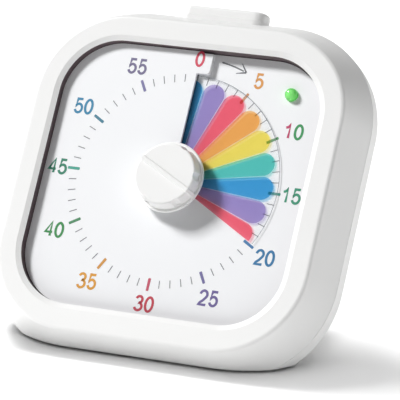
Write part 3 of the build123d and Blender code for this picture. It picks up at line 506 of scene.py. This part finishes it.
petals = bmesh.new()
for index in range(PETALS):
    middle = LAST_PETAL - PETAL_STEP * index
    petal(petals, middle, index % len(petal_inks))
leading_normal = on_dial(1, REST_ANGLE + 90)
near_edge = [
    v for v in petals.verts
    if on_dial(1, LAST_PETAL).dot(v.co) > 0 and v.co.z > LEADING_END_ABOVE
]
print(len(near_edge), "points near the leading edge")
edge_region = near_edge + list({e for v in near_edge for e in v.link_edges})
edge_region += list({f for v in near_edge for f in v.link_faces})
bmesh.ops.bisect_plane(
    petals, geom=edge_region, plane_co=(0, 0, 0), plane_no=leading_normal, clear_outer=True
)
bmesh.ops.recalc_face_normals(petals, faces=petals.faces)
dial_piece(petals, "film_petals", petal_inks, "disc", smooth=True)

# %% [markdown]
# ## Edge of the film
#
# Seen obliquely, a clear sheet shows its cut edge as a thin grey line, made by refraction. A
# narrow ribbon, spun along the rim and then lifted to the screw surface, stands for that line:
# its grey is painted refraction.

# %% Film edge
EDGE_WIDTH = 0.22
EDGE_OVERHANG = 0.02
EDGE_LIFT = 0.01
EDGE_STEPS = 240
# The ribbon's grey is painted refraction at the cut edge.
edge = bmesh.new()
edge_height = FILM_TOP + EDGE_LIFT
first = edge.verts.new((FILM_RADIUS - EDGE_WIDTH, 0, 0))
second = edge.verts.new((FILM_RADIUS + EDGE_OVERHANG, 0, 0))
ribbon = edge.edges.new((first, second))
bmesh.ops.spin(
    edge, geom=[ribbon, first, second], axis=(0, 0, 1), cent=(0, 0, 0), angle=-radians(FILM_SPAN),
    steps=EDGE_STEPS,
)
edge.verts.ensure_lookup_table()
for vertex in edge.verts:
    turned = clockwise(vertex.co.x, vertex.co.y) - 90
    degrees = REST_ANGLE - FILM_SPAN + turned % 360
    vertex.co = on_dial(vertex.co.xy.length, degrees, face_height(degrees) + edge_height)
bmesh.ops.recalc_face_normals(edge, faces=edge.faces)
dial_piece(edge, "film_rim", [film_edge_painted_grey], "disc")

# %% [markdown]
# ## Minute marks
#
# Every fifth minute has a coloured bar with round ends, except zero, where the slot is. The
# minutes between have thin grey bars. A bar starts as a flat circle of points. Its outer and
# inner halves are moved apart along the radius, which leaves straight sides and round ends.

# %% Minute marks
MARK_INNER = 38.95
MARK_OUTER = 44.0
MARK_WIDTH = 1.15
MINOR_INNER = 39.6
MINOR_OUTER = 42.75
MINOR_WIDTH = 0.36
END_ROUND = 0.45  # a full half circle would be 1
MARK_COLOURS = {
    5: "#C98B5E", 10: "#3F8A4E", 15: "#2A8C7E", 20: "#3A74A6", 25: "#6C6799", 30: "#BE4660",
    35: "#D0923E", 40: "#3A8254", 45: "#3A9E8A", 50: "#33788F", 55: "#7572A0",
}


def bar(builder, degrees, inner, outer, width, round_points=8):
    """Adds a flat bar with round ends along the radius at an angle, lying on the dial's face."""
    outline = bmesh.ops.create_circle(
        builder, cap_ends=True, segments=2 * round_points, radius=width / 2
    )
    for vertex in outline["verts"]:
        end = END_ROUND * width / 2
        reach = outer - end if vertex.co.y > 0 else inner + end
        along = END_ROUND * vertex.co.y + reach
        radius = sqrt(along ** 2 + vertex.co.x ** 2)
        angle = degrees + atan2(vertex.co.x, along) * 180 / pi
        vertex.co = on_dial(radius, angle, face_height(angle % 360) + PRINT_LIFT)


for minute, colour in MARK_COLOURS.items():
    mark = bmesh.new()
    bar(mark, 6 * minute, MARK_INNER, MARK_OUTER, MARK_WIDTH)
    ink = print_ink(f"{minute} minutes", colour)
    dial_piece(mark, f"mark_{minute:02d}", [ink], "case")

minor_marks = bmesh.new()
for minute in range(1, 60):
    if minute % 5:
        bar(minor_marks, 6 * minute, MINOR_INNER, MINOR_OUTER, MINOR_WIDTH, round_points=3)
dial_piece(minor_marks, "minor_marks", [grey_ink], "case")

# %% [markdown]
# ## Numbers
#
# The numbers are slim and sans serif, drawn with an even stroke. A digit is one path in a box
# that is one wide and one high. A strip of squares is laid along the path, so its two sides run
# half a stroke to the left and right of it. A number isn't turned with its angle: all of them
# stand upright.

# %% Numbers
NUMBER_HEIGHT = 6.5
DIGIT_WIDTH = 3.9
DIGIT_STEP = 4.2
STROKE = 1.0
LONGEST_MITRE = 1.5
SHARPEST_TURN = 0.1
DIGIT_LIFT = 0.004  # each digit lies a little above the one before, so two never coincide
NUMBER_RADIUS = {0: 49.1, 15: 48.3, 30: 49.1, 45: 48.3}
USUAL_NUMBER_RADIUS = 50.2
NUMBER_COLOURS = {
    0: ["#D03F58"], 5: ["#DB9748"], 10: ["#B93160", "#1F8A4A"], 15: ["#1E8A68"] * 2,
    20: ["#2070A0"] * 2, 25: ["#665A92"] * 2, 30: ["#BC3045"] * 2, 35: ["#DA982C"] * 2,
    40: ["#1F803C"] * 2, 45: ["#10785A"] * 2, 50: ["#1E7FA6"] * 2, 55: ["#6B6488"] * 2,
}


def bow(x, y, width, height, start, end, steps=16):
    """Points along part of an ellipse, with angles in degrees from the right, anticlockwise."""
    turns = [radians(start + (end - start) * step / steps) for step in range(steps + 1)]
    return [(x + width * cos(turn), y + height * sin(turn)) for turn in turns]


DIGITS = {
    "0": bow(0.5, 0.5, 0.5, 0.5, 90, 450, 32),
    "1": [(0.08, 0.74), (0.36, 0.78), (0.55, 0.88), (0.62, 1.0), (0.62, 0.0)],
    "2": bow(0.5, 0.72, 0.47, 0.28, 175, -38) + [(0.5, 0.3), (0.14, 0.14), (0.0, 0.0), (1.0, 0.0)],
    "3": bow(0.48, 0.76, 0.42, 0.24, 165, -80) + bow(0.48, 0.27, 0.5, 0.27, 80, -165),
    "4": [(0.74, 0.0), (0.74, 1.0), (0.0, 0.28), (1.0, 0.28)],
    "5": [(0.92, 1.0), (0.2, 1.0), (0.09, 0.46)] + bow(0.5, 0.32, 0.5, 0.32, 138, -162),
}


def number(minute, colours):
    """One printed number as a piece on the dial, each digit in its own ink."""
    drawn = bmesh.new()
    centre = on_dial(NUMBER_RADIUS.get(minute, USUAL_NUMBER_RADIUS), 6 * minute)
    for place, digit in enumerate(str(minute)):
        from_middle = DIGIT_STEP * (place - (len(colours) - 1) / 2)
        path = [
            Vector((
                centre.x + from_middle + (x - 0.5) * (DIGIT_WIDTH - STROKE),
                centre.y + (y - 0.5) * (NUMBER_HEIGHT - STROKE),
            ))
            for x, y in DIGITS[digit]
        ]
        closed = (path[0] - path[-1]).length < 0.01
        strip = bmesh.ops.create_grid(drawn, x_segments=1, y_segments=len(path) - 1, size=1.0)
        for vertex in strip["verts"]:
            at = round((vertex.co.y + 1) / 2 * (len(path) - 1))
            before = path[at - 1] if at else (path[-2] if closed else path[0] * 2 - path[1])
            last = at == len(path) - 1
            after = (path[1] if closed else path[-1] * 2 - path[-2]) if last else path[at + 1]
            into, out = (path[at] - before).normalized(), (after - path[at]).normalized()
            across = Vector((into.y + out.y, -into.x - out.x)).normalized()
            turned = max(across.dot(Vector((out.y, -out.x))), SHARPEST_TURN)
            mitre = min(1 / turned, LONGEST_MITRE)
            x, y = path[at] + across * vertex.co.x * mitre * STROKE / 2
            height = PITCH / 2 if minute == 0 else face_height(clockwise(x, y))
            vertex.co = (x, y, height + PRINT_LIFT + DIGIT_LIFT * place)
        for face in {face for vertex in strip["verts"] for face in vertex.link_faces}:
            face.material_index = place
    bmesh.ops.recalc_face_normals(drawn, faces=drawn.faces)
    inks = [print_ink(f"number {minute}, digit {place}", ink) for place, ink in enumerate(colours)]
    return dial_piece(drawn, f"number_{minute:02d}", inks, "case")


for minute, colours in NUMBER_COLOURS.items():
    number(minute, colours)

# %% [markdown]
# ## Arrow
#
# A thin grey arrow shows which way the knob is turned. Its shaft is a ribbon spun along the
# circle of the numbers, and its head is a pair of tapered barbs.

# %% Arrow
ARROW_RADIUS = 50.1
ARROW_FROM = 9.7
ARROW_TO = 21.0
ARROW_WIDTH = 0.55
ARROW_TIP = 22.4
BARB_LENGTH = 4.2
BARB_WIDTH = 1.3 * ARROW_WIDTH
BARB_TAPER = 0.6
BARB_TURN = 4
BARB_SPREADS = {1: 28, -1: 36}  # degrees from the shaft, on its two sides
arrow = bmesh.new()
tail = [
    arrow.verts.new(on_dial(ARROW_RADIUS + side * ARROW_WIDTH / 2, ARROW_FROM))
    for side in (-1, 1)
]
shaft_edge = arrow.edges.new(tail)
bmesh.ops.spin(
    arrow, geom=[shaft_edge, *tail], axis=(0, 0, 1), cent=(0, 0, 0),
    angle=-radians(ARROW_TO - ARROW_FROM), steps=12,
)
tip = on_dial(ARROW_RADIUS, ARROW_TIP)
for side, spread in BARB_SPREADS.items():
    barb = bmesh.ops.create_grid(arrow, x_segments=1, y_segments=4, size=0.5)
    for vertex in barb["verts"]:
        reach = (vertex.co.y + 0.5) * BARB_LENGTH
        width = BARB_WIDTH * (1 - BARB_TAPER * reach / BARB_LENGTH)
        vertex.co = (-reach, vertex.co.x * width, 0)
    bmesh.ops.rotate(
        arrow, verts=barb["verts"], cent=(0, 0, 0),
        matrix=Matrix.Rotation(radians(-ARROW_TIP - BARB_TURN - side * spread), 3, "Z"),
    )
    bmesh.ops.translate(arrow, verts=barb["verts"], vec=tip)
for vertex in arrow.verts:
    degrees = clockwise(vertex.co.x, vertex.co.y)
    vertex.co.z = face_height(degrees) + PRINT_LIFT
bmesh.ops.recalc_face_normals(arrow, faces=arrow.faces)
dial_piece(arrow, "turn_arrow", [grey_ink], "case")

# %% [markdown]
# ## Floor
#
# The timer stands on a sweep of matt white paper, wide enough to fill the view. It is stage and
# no part of the timer.

# %% Floor
FLOOR_REACH = 4.0  # from the middle to each side, in metres
floor_mesh = bpy.data.meshes.new("floor")
floor_builder = bmesh.new()
bmesh.ops.create_grid(floor_builder, x_segments=1, y_segments=1, size=FLOOR_REACH)
floor_builder.to_mesh(floor_mesh)
floor_builder.free()
floor = bpy.data.objects.new("floor", floor_mesh)
bpy.context.scene.collection.objects.link(floor)
sweep_paper, _, _ = plain_material("White sweep", "#F4F4F4", 0.9)
floor_mesh.materials.append(sweep_paper)
print("floor", round(floor.dimensions.x, 1), "m wide")

# %% [markdown]
# ## Surroundings
#
# The camera, mirrors and clear film see a plain white backdrop. It hardly lights anything: to
# every other ray the surroundings are almost dark, so the lamps set the tones.

# %% Surroundings
WORLD_STRENGTH = 0.02
world = bpy.data.worlds.new("Studio")
bpy.context.scene.world = world
world.use_nodes = True
world_tree = world.node_tree
surround = world_tree.nodes["Background"]
surround.inputs["Color"].default_value = linear("#FBFCFF")
surround.inputs["Strength"].default_value = WORLD_STRENGTH
backdrop = add_node(world_tree, "ShaderNodeBackground", {"Color": (1, 1, 1, 1), "Strength": 1.0})
who = add_node(world_tree, "ShaderNodeLightPath")
through = add_node(
    world_tree,
    "ShaderNodeMath",
    {"operation": "MAXIMUM"},
    {0: who.outputs["Is Camera Ray"], 1: who.outputs["Is Transmission Ray"]},
)
direct = add_node(
    world_tree,
    "ShaderNodeMath",
    {"operation": "MAXIMUM"},
    {0: through.outputs[0], 1: who.outputs["Is Glossy Ray"]},
)
mix = add_node(
    world_tree,
    "ShaderNodeMixShader",
    None,
    {0: direct.outputs[0], 1: surround.outputs[0], 2: backdrop.outputs[0]},
)
world_tree.links.new(mix.outputs[0], world_tree.nodes["World Output"].inputs["Surface"])
print("surroundings at", WORLD_STRENGTH)

# %% [markdown]
# ## Lamps
#
# One large lamp from high on the left models the forms and throws the knob's soft shadow. A weak
# lamp on the right and a low card in front fill the walls of the case that it misses. The floor
# has two lamps of its own, so it can be white with a soft shadow while the pale case keeps its
# tones. Directions start at the dial's centre, lengths are in metres and powers in watts.

# %% Lamps
KEY = {"direction": (-0.655, -0.20, 0.728), "distance": 6.0, "size": (1.25, 1.25), "power": 392.0}
SIDE = {"direction": (0.95, 0.22, 0.22), "distance": 2.5, "size": (1.0, 1.0), "power": 13.5}
CARD = {"direction": (0.05, -0.98, -0.18), "distance": 0.28, "size": (0.30, 0.014), "power": 0.08}
BACK = {"direction": (-0.41, 0.41, 0.88), "distance": 2.5, "size": (0.7, 0.7), "power": 54.0}
SKY = {"direction": (0.0, 0.0, 1.0), "distance": 2.0, "size": (3.0, 3.0), "power": 48.0}


def area_lamp(name, direction, distance, size, power, receivers):
    """Lamp that looks at the dial's centre from a direction and lights the receivers."""
    lamp = bpy.data.lights.new(name, "AREA")
    lamp.shape = "RECTANGLE"
    lamp.size, lamp.size_y = size
    lamp.energy = power
    holder = bpy.data.objects.new(name, lamp)
    bpy.context.scene.collection.objects.link(holder)
    holder.location = dial_centre + Vector(direction).normalized() * distance
    holder.rotation_mode = "QUATERNION"
    holder.rotation_quaternion = Vector(direction).to_track_quat("Z", "Y")
    holder.visible_camera = False
    lit = bpy.data.collections.new(f"lit by {name}")
    for receiver in receivers:
        lit.objects.link(receiver)
    holder.light_linking.receiver_collection = lit
    print(name, power, "W on", len(receivers), "objects")


pieces = [thing for thing in bpy.data.objects if thing.type == "MESH" and thing != floor]
area_lamp("key", receivers=pieces, **KEY)
area_lamp("side", receivers=pieces, **SIDE)
case_pieces = [nodes[name] for name in ("front_housing", "rear_cover", "button_cap")]
area_lamp("card", receivers=case_pieces, **CARD)
area_lamp("back", receivers=[floor], **BACK)
area_lamp("sky", receivers=[floor], **SKY)

# %% [markdown]
# ## Camera
#
# A long lens, from a little to the right and from above, so that the dial, the right wall and
# the top show at once.

# %% Camera
CAMERA_FROM_DIAL = Vector((0.4658, -1.04768, 0.3455))
CAMERA_AZIMUTH = 23.453
CAMERA_ELEVATION = 17.12
LENS = 283.35
SENSOR = 36.0
camera_data = bpy.data.cameras.new("camera")
camera_data.lens = LENS
camera_data.sensor_width = SENSOR
camera_data.clip_start = 0.05
camera = bpy.data.objects.new("camera", camera_data)
bpy.context.scene.collection.objects.link(camera)
camera.location = dial_centre + CAMERA_FROM_DIAL
camera.rotation_euler = Euler((radians(90 - CAMERA_ELEVATION), 0, radians(CAMERA_AZIMUTH)))
bpy.context.scene.camera = camera
bpy.context.scene.view_settings.view_transform = "Standard"
print("lens", LENS, "mm at", [round(part, 3) for part in camera.location])
